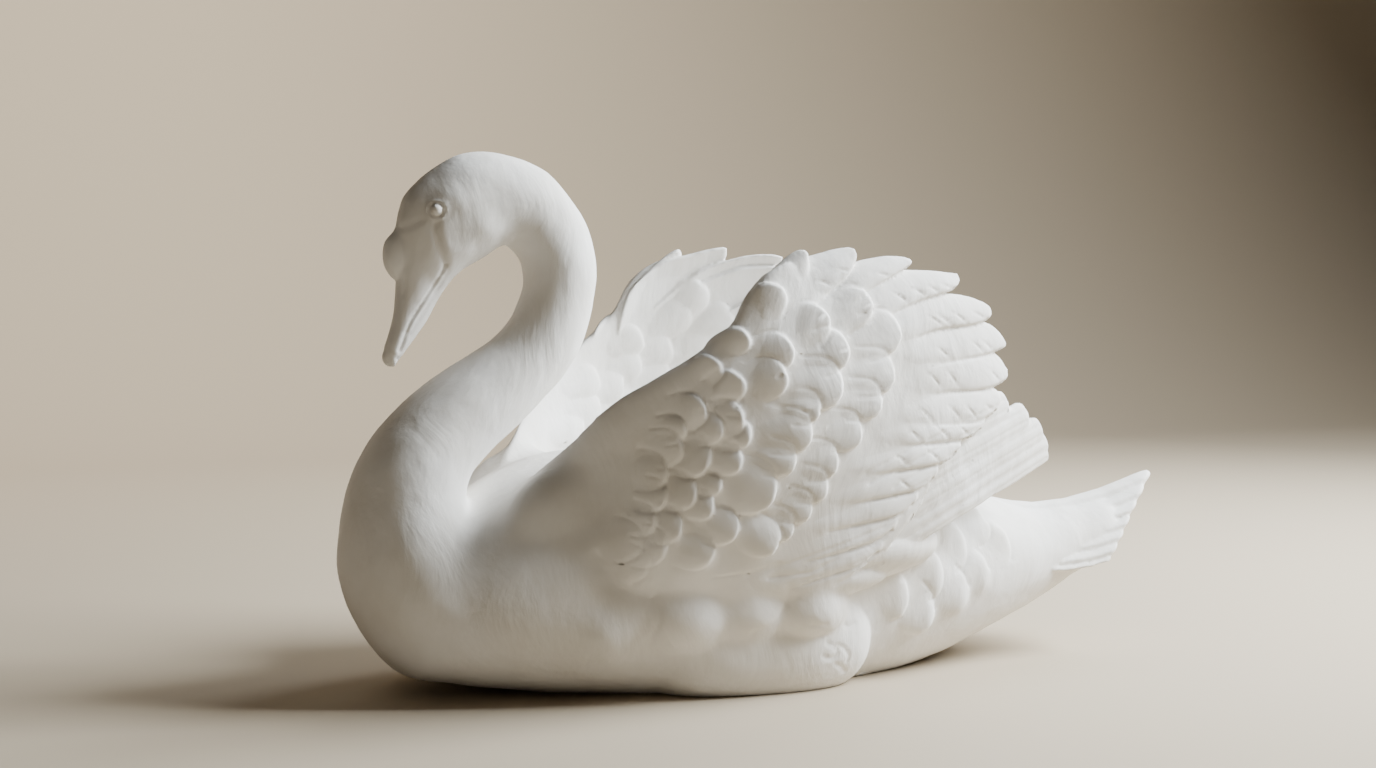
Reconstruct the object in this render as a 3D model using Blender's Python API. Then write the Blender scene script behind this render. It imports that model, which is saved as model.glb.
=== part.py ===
"""A cast plaster swan, resting, with its neck drawn back in an S and its wings raised over its back.

The figure is one piece. It is built from closed forms that overlap, each a grid rolled into a tube or a
pillow: the body with neck, head and bill, the two wings with their feathers, the thighs and the tail. The
forms are then fused into one skin, eased where the sculptor eased them, and cut flat below.

+X runs from the breast to the tail, +Z is up, and the two sides mirror each other across Y = 0.
"""

import math

import bmesh
import bpy
import numpy as np
from mathutils import Vector

# The one driving size, in metres, from the breast to the tip of the tail.
LENGTH = 0.90

# The figure is drawn in units: fused and eased, it is this many of them long. Every table is in these units.
DRAWN_LENGTH = 887.3
UNIT = LENGTH / DRAWN_LENGTH

# How finely the forms are drawn and fused, and how many triangles the skin keeps.
BODY_GRID = (220, 56)
EGG_GRID = (20, 24)
ARM_GRID = (60, 60)
FEATHER_GRID = (30, 24)
TAIL_GRID = (60, 150)
SKIN_CELL = 3.2
SKIN_TRIANGLES = 9900

# The body and the neck as rings. Each row is a ring's underside (x, z), its upper side (x, z), half its
# width, how much wider it is below than above, and how round it is: 1 is an ellipse, less is squarer.
BODY = (
    (398, 122, 398, 122, 0, 0, 1),
    (388, 97, 396, 152, 34, 0, 1),
    (333, 66, 344, 149, 52, 0, 1),
    (290, 45, 300, 148, 66, 0, 1),
    (249, 29, 262, 157, 82, 0, 0.95),
    (200, 10, 210, 178, 101, 0, 0.9),
    (150, -6, 155, 197, 117, 0, 0.85),
    (80, -22, 80, 212, 131, 0.02, 0.8),
    (0, -34, 0, 222, 142, 0.06, 0.72),
    (-90, -29, -80, 226, 150, 0.08, 0.65),
    (-190, -11, -165, 226, 152, 0.08, 0.65),
    (-274, -1, -235, 218, 143, 0.08, 0.7),
    (-339, 8, -280, 203, 128, 0.08, 0.8),
    (-384, 18, -305, 190, 113, 0.06, 0.9),
    (-427, 78, -316, 180, 101, 0.03, 1),
    (-437, 117, -318, 184, 92, 0, 1),
)
NECK = (
    (-436, 150, -317, 189, 84, 0, 1),
    (-433, 175, -314, 201, 76, 0, 1),
    (-423, 209, -308, 211, 68, 0, 1),
    (-404, 243, -299, 220, 60, 0, 1),
    (-381, 269, -286, 232, 53, 0, 1),
    (-334, 306, -258, 256, 45, 0, 1),
    (-309, 321, -236, 278, 41, 0, 1),
    (-285, 336, -216, 299, 39, 0, 1),
    (-268, 354, -200, 325, 38, 0, 1),
    (-258, 374, -189, 359, 37, 0, 1),
    (-254, 391, -183, 397, 37, 0, 1),
    (-257, 410, -186, 423, 37, 0, 1),
    (-265, 421, -195, 451, 37, 0, 1),
)
HEAD = (
    (-273, 426, -213, 478, 37, 0, 1),
    (-277, 425, -235, 498, 37, 0, 1),
    (-284, 422, -265, 511, 37.5, 0.02, 0.95),
    (-294, 415, -297, 515, 38, 0.05, 0.9),
    (-305, 409, -322, 511, 38, 0.08, 0.9),
    (-316, 403, -342, 500, 36.5, 0.10, 0.9),
    (-324, 396, -359, 487, 33.5, 0.10, 0.9),
    (-330, 389, -373, 471, 30, 0.08, 0.95),
    (-336, 381, -380, 449, 25, 0.06, 0.95),
)
BILL = (
    (-339, 376, -381, 428, 21, 0, 0.9),
    (-344, 368, -380, 399, 17.5, 0, 0.85),
    (-352, 354, -381, 379, 15.5, 0, 0.8),
    (-364, 337, -384, 355, 14.5, 0, 0.8),
    (-374, 323, -389, 338, 14, 0, 0.8),
    (-380, 315, -393, 326, 12, 0, 0.9),
    (-383, 310, -389, 314, 7, 0, 1),
    (-385, 310, -385, 310, 0, 0, 1),
)
KNOB = ((-376, 0, 417), (17, 14, 25))
NAIL = ((-387, 0, 320), (8, 9, 10))
EYE = ((-348, 29.5, 459), (7.5, 6, 7.5))

# Each wing is a curved sheet: its distance out from the middle plane is furthest at one place and falls away
# from there.
WING_OUT = 197.0
WING_MID_X = -40.0
WING_MID_Z = 250.0
WING_FALL_BACK = 1.0e-3
WING_FALL_FRONT_LOW = 1.4e-3
WING_FALL_FRONT_HIGH = 2.57e-3
WING_FALL_Z = 0.93e-3
WING_TURN_Z = (130.0, 110.0)

# The wing's solid arm: its front edge and its rear limit, from the foot of the wing to its top.
ARM_FRONT = (
    (-196, 104),
    (-240, 138),
    (-268, 170),
    (-274, 194),
    (-255, 222),
    (-230, 253),
    (-203, 281),
    (-161, 311),
    (-127, 335),
    (-105, 356),
    (-92, 380),
    (-75, 399),
    (-52, 412),
)
ARM_REAR = (
    (-30, 104),
    (20, 118),
    (62, 146),
    (90, 180),
    (108, 215),
    (118, 245),
    (120, 275),
    (112, 305),
    (92, 332),
    (62, 355),
    (30, 375),
    (0, 392),
    (-30, 405),
)
# How thick the arm is outside and inside the sheet, from its front edge (-1) to its rear limit (1).
ARM_OUTER = ((-0.9, -0.35, 0.4), (13.0, 6.0, 2.0))
ARM_INNER = ((-0.9, 0.0, 0.9), (9.0, 6.0, 3.0))

# The foot of the wing's front edge is tucked into the breast: how deep, from where, and over what reach.
TUCK = 32.0
TUCK_X = (-160.0, 100.0)
TUCK_Z = (270.0, 90.0)

# A feather is drawn by its tip (x, z), its heading in degrees above level, its length and half its width.
# Four more numbers shape its end: how far it bends backwards, how far its tip leans to its upper edge, how
# much it tapers, each as a share of the half width, and over how many half widths it rounds off.
PLAIN_END = (0.0, 0.0, 0.0, 1.1)

# The long feathers of the fan, from the crest down. The crest's tips are corners, the lower ones turn round.
FAN = (
    (-31, 421, 61, 118, 26.5, 0.25, 0.2, 0.6, 1.5),
    (23, 418, 22, 120, 24.5, -0.1, 0.55, 0.55, 1.1),
    (85, 411, 30.5, 150, 18, 1.15, 0.25, 0.4, 2.6),
    (143, 391.5, 12, 170, 23.5, 0.45, 1.0, 0.65, 0.85),
    (184, 357, 19.5, 185, 20, 1.8, 0.7, 0.15, 2.6),
    (198, 339, 5, 185, 18, 0.0, -0.5, 0.0, 2.6),
    (200, 303, 7.5, 185, 25, 0.75, 0.1, 0.0, 2.6),
    (189, 271, 2, 185, 19.5, 0.35, 0.6, 0.0, 2.6),
    (168, 256, 1, 185, 18, 0.0, 0.6, 0.0, 2.2),
    (136, 236, 4, 185, 18, 0.0, 0.6, 0.0, 2.2),
    (108, 213, 6, 185, 18, 0.0, 0.6, 0.0, 2.2),
    (84, 190, 8, 185, 17, 0.0, 0.6, 0.0, 2.2),
    (62, 167, 11, 185, 17, 0.0, 0.6, 0.0, 2.2),
    (48, 146, 14, 185, 16, 0.0, 0.6, 0.0, 2.2),
)

# How far a fan feather stands off the sheet: at its root, and at its tip by its number in the fan.
FAN_ROOT_LIFT = -2.0
FAN_TIP_LIFT = ((0, 7, 13), (3.0, 3.0, -0.5))
FAN_FORM = {"thick": 7.5, "crown": 2.8, "tilt": 2.9, "rim": 0.0}

# The flight feathers that lie under the fan and point to the tail.
FLIGHT = (
    (212, 272, 22, 285, 16, 0.75, 0.0, 0.0, 1.1),
    (243, 259, 22.5, 285, 15, 0.8, 0.0, 0.0, 1.1),
    (267, 243, 23, 285, 13.5, 0.9, 0.0, 0.0, 1.1),
    (277, 228.5, 23.5, 285, 12, 1.0, 0.0, 0.0, 1.1),
    (279, 217, 23.5, 285, 11, 1.1, 0.0, 0.0, 1.1),
)
FLIGHT_LIFT = (-5.0, -4.0)
FLIGHT_FORM = {"thick": 9.0, "crown": 0.8, "tilt": 1.1, "rim": 0.0}

# The coverts of the outer face, row by row from the fan to the shoulder. Each row rides higher than the last.
COVERTS = {
    "over the fan": (
        (29, 378, 28, 84, 21),
        (60, 349, 14, 90, 23),
        (52, 308, 0, 90, 23),
        (37, 281, -4, 80, 20),
        (16, 253, -4, 70, 20),
        (-9, 226, -5, 70, 20),
        (-19, 202, -10, 65, 18),
        (-34, 182, -14, 65, 17),
        (-51, 164, -18, 65, 17),
    ),
    "middle": (
        (-65, 388, 68, 56, 13),
        (-21, 366, 42, 66, 22),
        (1, 334, 15, 70, 22),
        (-6, 297, -2, 90, 25),
        (-29, 275, -8, 56, 17),
        (-37, 254, -5, 84, 22),
        (-52, 228, -12, 62, 18),
        (-70, 202, -10, 84, 28),
        (-66, 151, -25, 66, 20),
    ),
    "high": (
        (-55, 335, 25, 60, 20),
        (-62, 312, 25, 64, 21),
        (-92, 253, -5, 52, 16),
        (-100, 228, -12, 52, 16),
        (-117, 206, -10, 44, 12),
        (-103, 166, -15, 62, 19),
        (-125, 140, -25, 60, 20),
    ),
    "shoulder": (
        (-93, 344, 22, 42, 12),
        (-102, 308, 45, 48, 14),
        (-99, 273, 15, 46, 15),
        (-115, 259, 0, 40, 13),
        (-126, 228, -18, 52, 20),
        (-138, 198, -10, 46, 16),
        (-124, 185, -15, 42, 13),
        (-151, 166, -15, 44, 16),
        (-164, 146, -15, 44, 17),
    ),
    "first": (
        (-122, 322, 50, 52, 14),
        (-131, 282, 25, 56, 20),
        (-148, 243, 8, 52, 20),
        (-162, 193, -15, 34, 12),
        (-171, 171, -12, 32, 11),
        (-183, 152, -10, 40, 17),
    ),
}
COVERT_LIFT = {
    "over the fan": (-1, 7),
    "middle": (-2, 11),
    "high": (-1, 12.5),
    "shoulder": (0, 13.5),
    "first": (-1, 13),
}
COVERT_FORM = {
    "over the fan": {"thick": 8.0, "crown": 1.8, "tilt": 2.0, "rim": 1.5},
    "middle": {"thick": 9.0, "crown": 3.2, "tilt": 1.8, "rim": 1.5},
    "high": {"thick": 9.0, "crown": 3.6, "tilt": 1.5, "rim": 1.5},
    "shoulder": {"thick": 9.0, "crown": 3.6, "tilt": 1.5, "rim": 1.5},
    "first": {"thick": 9.0, "crown": 3.0, "tilt": 1.0, "rim": 1.0},
}

# Tips of the softer coverts on the wing's inner face. They head more upwards the higher they sit.
INNER_ROWS = (
    ((31, 355), (11, 324), (5, 290), (-8, 255), (-20, 222)),
    ((-6, 388), (-20, 362), (-36, 318), (-37, 288), (-60, 255), (-75, 225)),
    ((-74, 330), (-74, 300), (-96, 278), (-129, 284), (-127, 252), (-150, 232)),
)
INNER_LIFT = ((2, 9), (2, 11), (2, 13))
INNER_LONG = (90, 80, 62)
INNER_HALF = (25, 23, 20)
INNER_FORM = {"thick": 10.0, "crown": 4.0, "tilt": 1.2, "rim": 0.0}
INNER_HEADING = ((150, 200, 250, 300, 340, 375, 410), (14, 4, 2, 10, 26, 44, 70))

# The thigh: its centre, its radii and how blunt its ends are, where 1 is an ellipse and less is fuller.
THIGH = ((-54, 100, 48), (115, 62, 68))
THIGH_BLUNT = 0.55

# The soft lumps of the flank, the pads under the wing and the shoulder: centre and radii. Those of one side,
# mirrored for the other.
FLANK = (
    ((-20, 124, 88), (44, 55, 40)),
    ((-74, 122, 91), (44, 57, 42)),
    ((-124, 120, 88), (48, 56, 45)),
    ((-207, 108, 78), (50, 48, 52)),
    ((-110, 122, 150), (112, 56, 60)),
    ((20, 118, 136), (112, 60, 36)),
    ((-30, 148, 113), (96, 31, 24)),
    ((-234, 86, 152), (70, 40, 70)),
)

# Soft scales on the rump: where each sits on the body's side (x, z), and its reach along and up. A scale
# rises from below the skin to PAD_PROUD at its rear end, and droops a little along its length.
PADS = (
    (214, 122, 44, 24),
    (186, 146, 44, 22),
    (180, 99, 44, 25),
    (152, 128, 44, 26),
    (152, 84, 44, 26),
    (118, 144, 44, 24),
    (120, 104, 44, 28),
    (110, 70, 44, 28),
    (84, 126, 44, 26),
    (78, 88, 44, 28),
)
PAD_BEHIND = 0.5
PAD_BEFORE = 1.2
PAD_PROUD = 9.0
PAD_SUNK = 4.0
PAD_DEPTH = 14.0
PAD_DROOP = 0.25

# Soft swellings of the skin: centre, reach and height. Those of one side, mirrored for the other.
SWELLINGS = (
    ((-226, 150, 64), 34, 3),
    ((-300, 35, 441), 20, 2.5),
    ((-322, 33, 420), 14, 1.5),
    ((-336, 34, 470), 22, 3),
)

# The tail: an arched fan of feathers. Its ridge line (x, z), how it narrows and falls to its two corners, and
# its feathers to a side: how they crowd outwards, step down, are parted by grooves and end in scallops.
TAIL_RIDGE = ((236, 160), (282, 151), (309, 147), (346, 150), (392, 159), (430, 171), (453, 178))
TAIL_CORNER_BACK = 85.0
TAIL_HALF_WIDTH = (70.0, 60.0)
TAIL_DROP = 60.0
TAIL_FEATHERS = 6.0
TAIL_CROWDING = 1.5
TAIL_STEP = 3.0
TAIL_GROOVE = 2.5
TAIL_GROOVE_WIDTH = 0.14
TAIL_SCALLOP = 4.0
TAIL_HALF_THICK = 4.5

# The height at which the underside is cut flat.
BASE_Z = 0.0

# Where the sculptor eased one form into the next: centre, reach and how much. EASE_DEPTH is how deep it goes.
EASED = (
    ((-262, 88, 188), 95, 1.0),
    ((-225, 135, 110), 60, 0.8),
    ((-316, 0, 190), 60, 0.5),
    ((-70, 150, 85), 85, 0.55),
    ((-180, 140, 80), 90, 0.7),
    ((-30, 170, 112), 60, 0.6),
    ((20, 160, 84), 50, 0.25),
    ((170, 90, 100), 100, 0.25),
    ((-385, 0, 452), 24, 0.3),
    ((-120, 92, 200), 75, 0.6),
    ((20, 84, 178), 70, 0.6),
)
EASE_DEPTH = 30.0


def smooth_through(rows, share):
    """Values on a smooth curve through the rows, at shares of its length from 0 to 1."""
    rows = np.array(rows, float)
    gaps = np.linalg.norm(np.diff(rows, axis=0), axis=1)
    knots = np.concatenate([[0.0], np.cumsum(gaps)]) / gaps.sum()
    slopes = np.gradient(rows, knots, axis=0)
    at = np.clip(np.searchsorted(knots, share, side="right") - 1, 0, len(rows) - 2)
    width = (knots[at + 1] - knots[at])[:, None]
    s = (share - knots[at])[:, None] / width
    start = (2 * s**3 - 3 * s**2 + 1) * rows[at] + (s**3 - 2 * s**2 + s) * width * slopes[at]
    end = (3 * s**2 - 2 * s**3) * rows[at + 1] + (s**3 - s**2) * width * slopes[at + 1]
    return start + end


def rolled_form(bm, grid, place):
    """A grid rolled into one closed form. place(u, v) gives its points: u from end to end, v once round."""
    along, round_it = int(grid[0]), int(grid[1])
    flat = bmesh.ops.create_grid(bm, x_segments=along, y_segments=round_it, size=0.5)["verts"]
    u = np.array([vert.co.x for vert in flat]) + 0.5
    v = np.array([vert.co.y for vert in flat]) + 0.5
    points = place(u, v) * UNIT
    for vert, point in zip(flat, points):
        vert.co = Vector(point)
    bmesh.ops.remove_doubles(bm, verts=flat, dist=UNIT * 0.001)


def curved_power(value, power):
    return np.sign(value) * np.abs(value) ** power


def ringed_form(bm, rows):
    """The body: rings that run from the tail through the breast and the neck to the bill."""

    def place(u, v):
        under_x, under_z, over_x, over_z, half, low, roundness = smooth_through(rows, u).T
        turn = 2 * math.pi * v
        up = np.cos(turn)
        x = (under_x + over_x) / 2 + (over_x - under_x) / 2 * up
        z = (under_z + over_z) / 2 + (over_z - under_z) / 2 * up
        y = np.maximum(half, 0) * curved_power(np.sin(turn), roundness) * (1 - low * up)
        return np.stack([x, y, z], axis=1)

    rolled_form(bm, BODY_GRID, place)


def body_side(x, z):
    """How far the body's side stands from the middle plane, over the rump and the flank."""
    rows = np.array(sorted(BODY[1:11], key=lambda row: row[0]), float)
    middle = (rows[:, 0] + rows[:, 2]) / 2
    under, over, half, low, roundness = (np.interp(x, middle, rows[:, k]) for k in (1, 3, 4, 5, 6))
    up = min(max((2 * z - under - over) / (over - under), -0.98), 0.98)
    return half * (1 - up * up) ** (roundness / 2) * (1 - low * up)


def egg_form(bm, centre, radii, side=1, blunt=1.0):
    """An ellipsoid that lies along X. A blunt below 1 makes its ends fuller."""

    def place(u, v):
        turn = 2 * math.pi * v
        ring = np.sin(math.pi * u) ** blunt
        x = centre[0] - radii[0] * np.cos(math.pi * u)
        y = centre[1] + radii[1] * ring * np.cos(turn)
        z = centre[2] + radii[2] * ring * np.sin(turn)
        return np.stack([x, side * y, z], axis=1)

    rolled_form(bm, EGG_GRID, place)


def rump_pad(bm, x, z, along, up, side):
    """A soft scale on the body's side. It rises slowly from the front and ends in a round edge."""

    def place(u, v):
        ahead = -np.cos(math.pi * u)
        ring = np.sin(math.pi * u)
        turn = 2 * math.pi * v
        seat = PAD_PROUD * (1 + ahead) / 2 - PAD_SUNK * (1 - ahead) / 2
        out = body_side(x, z) + seat + PAD_DEPTH * (curved_power(ring * np.cos(turn), 0.5) - 1)
        reach = ahead * along * np.where(ahead < 0, PAD_BEFORE, PAD_BEHIND)
        slope = (body_side(x + up, z) - body_side(x - up, z)) / (2 * up)
        spot_z = z - PAD_DROOP * reach + up * ring * np.sin(turn)
        return np.stack([x + reach, side * (out + slope * reach), spot_z], axis=1)

    rolled_form(bm, EGG_GRID, place)


def wing_out(x, z):
    """How far the wing's sheet stands from the middle plane."""
    high = np.clip((z - WING_TURN_Z[0]) / WING_TURN_Z[1], 0, 1)
    high = high * high * (3 - 2 * high)
    front = WING_FALL_FRONT_LOW + (WING_FALL_FRONT_HIGH - WING_FALL_FRONT_LOW) * high
    fall = np.where(x < WING_MID_X, front, WING_FALL_BACK)
    tucked = np.clip((TUCK_X[0] - x) / TUCK_X[1], 0, 1) ** 1.5 * np.clip((TUCK_Z[0] - z) / TUCK_Z[1], 0, 1)
    return WING_OUT - fall * (x - WING_MID_X) ** 2 - WING_FALL_Z * (z - WING_MID_Z) ** 2 - TUCK * tucked


def on_wing(x, z, lift, side):
    """A point of the wing, lifted off its sheet along the sheet's own normal."""
    y = wing_out(x, z)
    slope_x = (wing_out(x + 1, z) - wing_out(x - 1, z)) / 2
    slope_z = (wing_out(x, z + 1) - wing_out(x, z - 1)) / 2
    size = np.sqrt(1 + slope_x**2 + slope_z**2)
    return np.stack(
        [x - lift * slope_x / size, side * (y + lift / size), z - lift * slope_z / size], axis=1
    )


def wing_arm(bm, side):
    """The solid sheet of the wing under its feathers, thick at the arm and thin behind."""

    def place(u, v):
        front = smooth_through(ARM_FRONT, u)
        rear = smooth_through(ARM_REAR, u)
        closing = (1 - np.abs(2 * u - 1) ** 14) ** 0.5
        turn = 2 * math.pi * v
        back = -np.cos(turn)
        spot = (front + rear) / 2 + (rear - front) / 2 * back[:, None] * (0.6 + 0.4 * closing)[:, None]
        outer = np.interp(back, *ARM_OUTER)
        inner = np.interp(back, *ARM_INNER)
        lift = np.where(v < 0.5, outer, inner) * curved_power(np.sin(turn), 0.8) * closing
        return on_wing(spot[:, 0], spot[:, 1], lift, side)

    rolled_form(bm, ARM_GRID, place)


def vane(shape, u, across):
    """A place on a feather drawn flat: u from root to tip, across from -1 (upper edge) to 1 (lower edge)."""
    tip_x, tip_z, heading, long, half, bend, lean, taper, blunt = (shape + PLAIN_END)[:9]
    root_end = np.clip(u / 0.5, 0, 1)
    round_from = 1 - blunt * half / long
    round_end = np.clip((u - round_from) / (1 - round_from), 0, 1)
    full = (0.45 + 0.55 * root_end * (2 - root_end)) * (1 - taper * np.clip((u - 0.4) / 0.6, 0, 1))
    wide = full * (1 - round_end**2.4) ** 0.5
    curve = np.clip((u - 0.4) / 0.6, 0, 1) ** 2 - 1
    sideways = half * (across * wide - lean * (full - wide) + bend * curve)
    reach = (u - 1) * long
    turn = math.radians(heading)
    x = tip_x + reach * math.cos(turn) + sideways * math.sin(turn)
    z = tip_z + reach * math.sin(turn) - sideways * math.cos(turn)
    return x, z, round_end


def feather(bm, shape, lift, side, face, thick, crown, tilt, rim):
    """One feather on the wing's sheet: a flat pillow with a raised rim and a lifted lower edge."""

    def place(u, v):
        across = -np.cos(2 * math.pi * v)
        outer = np.sin(2 * math.pi * v)
        x, z, round_end = vane(shape, u, across)
        ends = np.sqrt(np.clip(u / 0.4, 0, 1) * np.clip((1 - u) * shape[3] / 3, 0, 1))
        dome = (1 - across**2) * (1 - round_end**2)
        rise = lift[0] + (lift[1] - lift[0]) * u**1.3 + crown * dome + tilt * across
        rise += rim * u**4 * (1 - dome)
        pillow = 0.5 * thick * (curved_power(outer, 0.6) * ends - 1)
        return on_wing(x, z, face * (rise + pillow), side)

    rolled_form(bm, FEATHER_GRID, place)


def wing_feathers(bm, side):
    for number, shape in enumerate(FAN):
        tip_lift = float(np.interp(number, *FAN_TIP_LIFT))
        feather(bm, shape, (FAN_ROOT_LIFT, tip_lift), side, 1, **FAN_FORM)
    for shape in FLIGHT:
        feather(bm, shape, FLIGHT_LIFT, side, 1, **FLIGHT_FORM)
    for row, shapes in COVERTS.items():
        for shape in shapes:
            feather(bm, shape, COVERT_LIFT[row], side, 1, **COVERT_FORM[row])
    for tips, lift, long, half in zip(INNER_ROWS, INNER_LIFT, INNER_LONG, INNER_HALF):
        for x, z in tips:
            heading = float(np.interp(z, *INNER_HEADING))
            feather(bm, (x, z, heading, long, half), lift, side, -1, **INNER_FORM)


def tail_fan(bm):
    """The tail: one arched sheet whose feathers step down from the middle one and end in scallops."""

    def place(u, v):
        across = -np.cos(2 * math.pi * v)
        outer = np.sin(2 * math.pi * v)
        out = np.abs(across)
        rank = out**TAIL_CROWDING * TAIL_FEATHERS + 0.5
        within = rank - np.floor(rank)
        scallop = (2 * within - 1) ** 2
        ridge_x = np.array(TAIL_RIDGE, float)
        end = ridge_x[-1, 0] - TAIL_CORNER_BACK * out**1.2 - TAIL_SCALLOP * scallop
        x = ridge_x[0, 0] + (end - ridge_x[0, 0]) * u
        top = np.interp(x, ridge_x[:, 0], ridge_x[:, 1])
        half = TAIL_HALF_WIDTH[0] + (TAIL_HALF_WIDTH[1] - TAIL_HALF_WIDTH[0]) * u
        slope = 1.5 * TAIL_DROP * out**0.5 / half * np.sign(across)
        size = np.sqrt(1 + slope**2)
        ends = np.sqrt(np.clip(u / 0.05, 0, 1) * np.clip((1 - u) / 0.02, 0, 1))
        shown = (outer > 0) * np.clip((u - 0.15) / 0.2, 0, 1)
        edge = np.minimum(within, 1 - within) / TAIL_GROOVE_WIDTH
        step = shown * (TAIL_STEP * (within - 0.5) - TAIL_GROOVE * np.exp(-(edge**2)))
        lift = TAIL_HALF_THICK * curved_power(outer, 0.5) * ends + step
        y = across * half + lift * slope / size
        z = top - TAIL_DROP * out**1.5 + lift / size
        return np.stack([x, y, z], axis=1)

    rolled_form(bm, TAIL_GRID, place)


def plaster_material():
    material = bpy.data.materials.new("matte white plaster")
    material.use_nodes = True
    shader = material.node_tree.nodes["Principled BSDF"]
    shader.inputs["Base Color"].default_value = (0.86, 0.84, 0.80, 1)
    shader.inputs["Roughness"].default_value = 0.85
    shader.inputs["Metallic"].default_value = 0.0
    return material


def applied(obj):
    """Puts what the object's modifiers make into its own mesh."""
    graph = bpy.context.evaluated_depsgraph_get()
    made = bpy.data.meshes.new_from_object(obj.evaluated_get(graph))
    obj.modifiers.clear()
    old = obj.data
    obj.data = made
    bpy.data.meshes.remove(old)


def figure_mesh():
    bm = bmesh.new()
    ringed_form(bm, BODY + NECK + HEAD + BILL)
    egg_form(bm, *KNOB)
    egg_form(bm, *NAIL)
    for side in (1, -1):
        for centre, radii in (EYE,) + FLANK:
            egg_form(bm, centre, radii, side)
        egg_form(bm, *THIGH, side, THIGH_BLUNT)
        for pad in PADS:
            rump_pad(bm, *pad, side)
        wing_arm(bm, side)
        wing_feathers(bm, side)
    tail_fan(bm)
    bmesh.ops.recalc_face_normals(bm, faces=bm.faces)
    mesh = bpy.data.meshes.new("swan")
    bm.to_mesh(mesh)
    bm.free()
    return mesh


def fuse(obj):
    """One skin over all the forms."""
    remesh = obj.modifiers.new("one skin", "REMESH")
    remesh.mode = "VOXEL"
    remesh.voxel_size = SKIN_CELL * UNIT
    ease = obj.modifiers.new("eased by hand", "SMOOTH")
    ease.factor = 0.5
    ease.iterations = 2
    applied(obj)


def drawn_points(obj):
    """The mesh's points in drawing units, as if all were on the near side."""
    points = np.empty(len(obj.data.vertices) * 3)
    obj.data.vertices.foreach_get("co", points)
    return np.abs(points.reshape(-1, 3) / UNIT * (0, 1, 0)) + points.reshape(-1, 3) / UNIT * (1, 0, 1)


def ease_joints(obj):
    """Smooths the places where the sculptor ran one form into the next."""
    near = obj.vertex_groups.new(name="eased")
    points = drawn_points(obj)
    weight = np.zeros(len(points))
    for centre, reach, share in EASED:
        away = np.linalg.norm(points - centre, axis=1) / reach
        weight = np.maximum(weight, share * np.clip(1.6 * (1 - away), 0, 1))
    for index in np.nonzero(weight > 0.01)[0]:
        near.add([int(index)], float(weight[index]), "REPLACE")
    ease = obj.modifiers.new("joints eased", "SMOOTH")
    ease.factor = 0.6
    ease.iterations = round(EASE_DEPTH / SKIN_CELL) ** 2
    ease.vertex_group = "eased"
    applied(obj)


def swell(obj):
    """Raises the soft swellings along the skin's own normals."""
    points = drawn_points(obj)
    height = np.zeros(len(points))
    for centre, reach, rise in SWELLINGS:
        away = np.linalg.norm(points - centre, axis=1) / reach
        height += rise * np.exp(-2 * away**2)
    normals = np.empty(len(points) * 3)
    obj.data.vertex_normals.foreach_get("vector", normals)
    moved = np.empty(len(points) * 3)
    obj.data.vertices.foreach_get("co", moved)
    moved += normals * np.repeat(height * UNIT, 3)
    obj.data.vertices.foreach_set("co", moved)
    obj.data.update()


def thin_out(obj):
    obj.data.calc_loop_triangles()
    thin = obj.modifiers.new("fewer faces", "DECIMATE")
    thin.ratio = SKIN_TRIANGLES / len(obj.data.loop_triangles)
    applied(obj)


def cut_base(obj):
    """Cuts the underside flat at the floor and closes it."""
    bm = bmesh.new()
    bm.from_mesh(obj.data)
    geometry = bm.verts[:] + bm.edges[:] + bm.faces[:]
    floor = (0, 0, BASE_Z * UNIT)
    cut = bmesh.ops.bisect_plane(
        bm, geom=geometry, dist=UNIT * 0.01, plane_co=floor, plane_no=(0, 0, -1), clear_outer=True
    )
    rim = [item for item in cut["geom_cut"] if isinstance(item, bmesh.types.BMEdge)]
    bmesh.ops.triangle_fill(bm, edges=rim, use_beauty=True)
    bmesh.ops.triangulate(bm, faces=bm.faces)
    bmesh.ops.recalc_face_normals(bm, faces=bm.faces)
    bm.to_mesh(obj.data)
    bm.free()


def centre(obj):
    """Moves the figure along the floor until its own middle stands over the origin."""
    points = np.empty(len(obj.data.vertices) * 3)
    obj.data.vertices.foreach_get("co", points)
    points = points.reshape(-1, 3)
    points[:, :2] -= (points[:, :2].min(axis=0) + points[:, :2].max(axis=0)) / 2
    obj.data.vertices.foreach_set("co", points.ravel())
    obj.data.update()


for old in list(bpy.data.objects):
    bpy.data.objects.remove(old)

swan = bpy.data.objects.new("swan", figure_mesh())
bpy.context.scene.collection.objects.link(swan)
fuse(swan)
ease_joints(swan)
swell(swan)
thin_out(swan)
cut_base(swan)
centre(swan)
swan.data.materials.append(plaster_material())
swan.data.shade_smooth()
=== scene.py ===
# %% [markdown]
# # A swan cast in white plaster
# The real object is a life-size figure of a resting swan. Its neck is drawn back in an S, its head looks
# down over the breast, and its wings stand open over its back. It was modelled in clay, cast in plaster in
# one piece, and smoothed by hand, so there are no joints anywhere: every form runs into the next.
#
# That decides how it is made here. Simple closed forms are laid over one another, as a sculptor adds clay:
# a body with its neck, lumps for the flank, and one pillow for each feather. They are then fused into one
# skin, the joints are eased, and the finest lines are cut into the skin last. First comes the frame, which
# is the same figure as a plain solid: it says where the floor is and how large the swan may be.

import math

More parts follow.
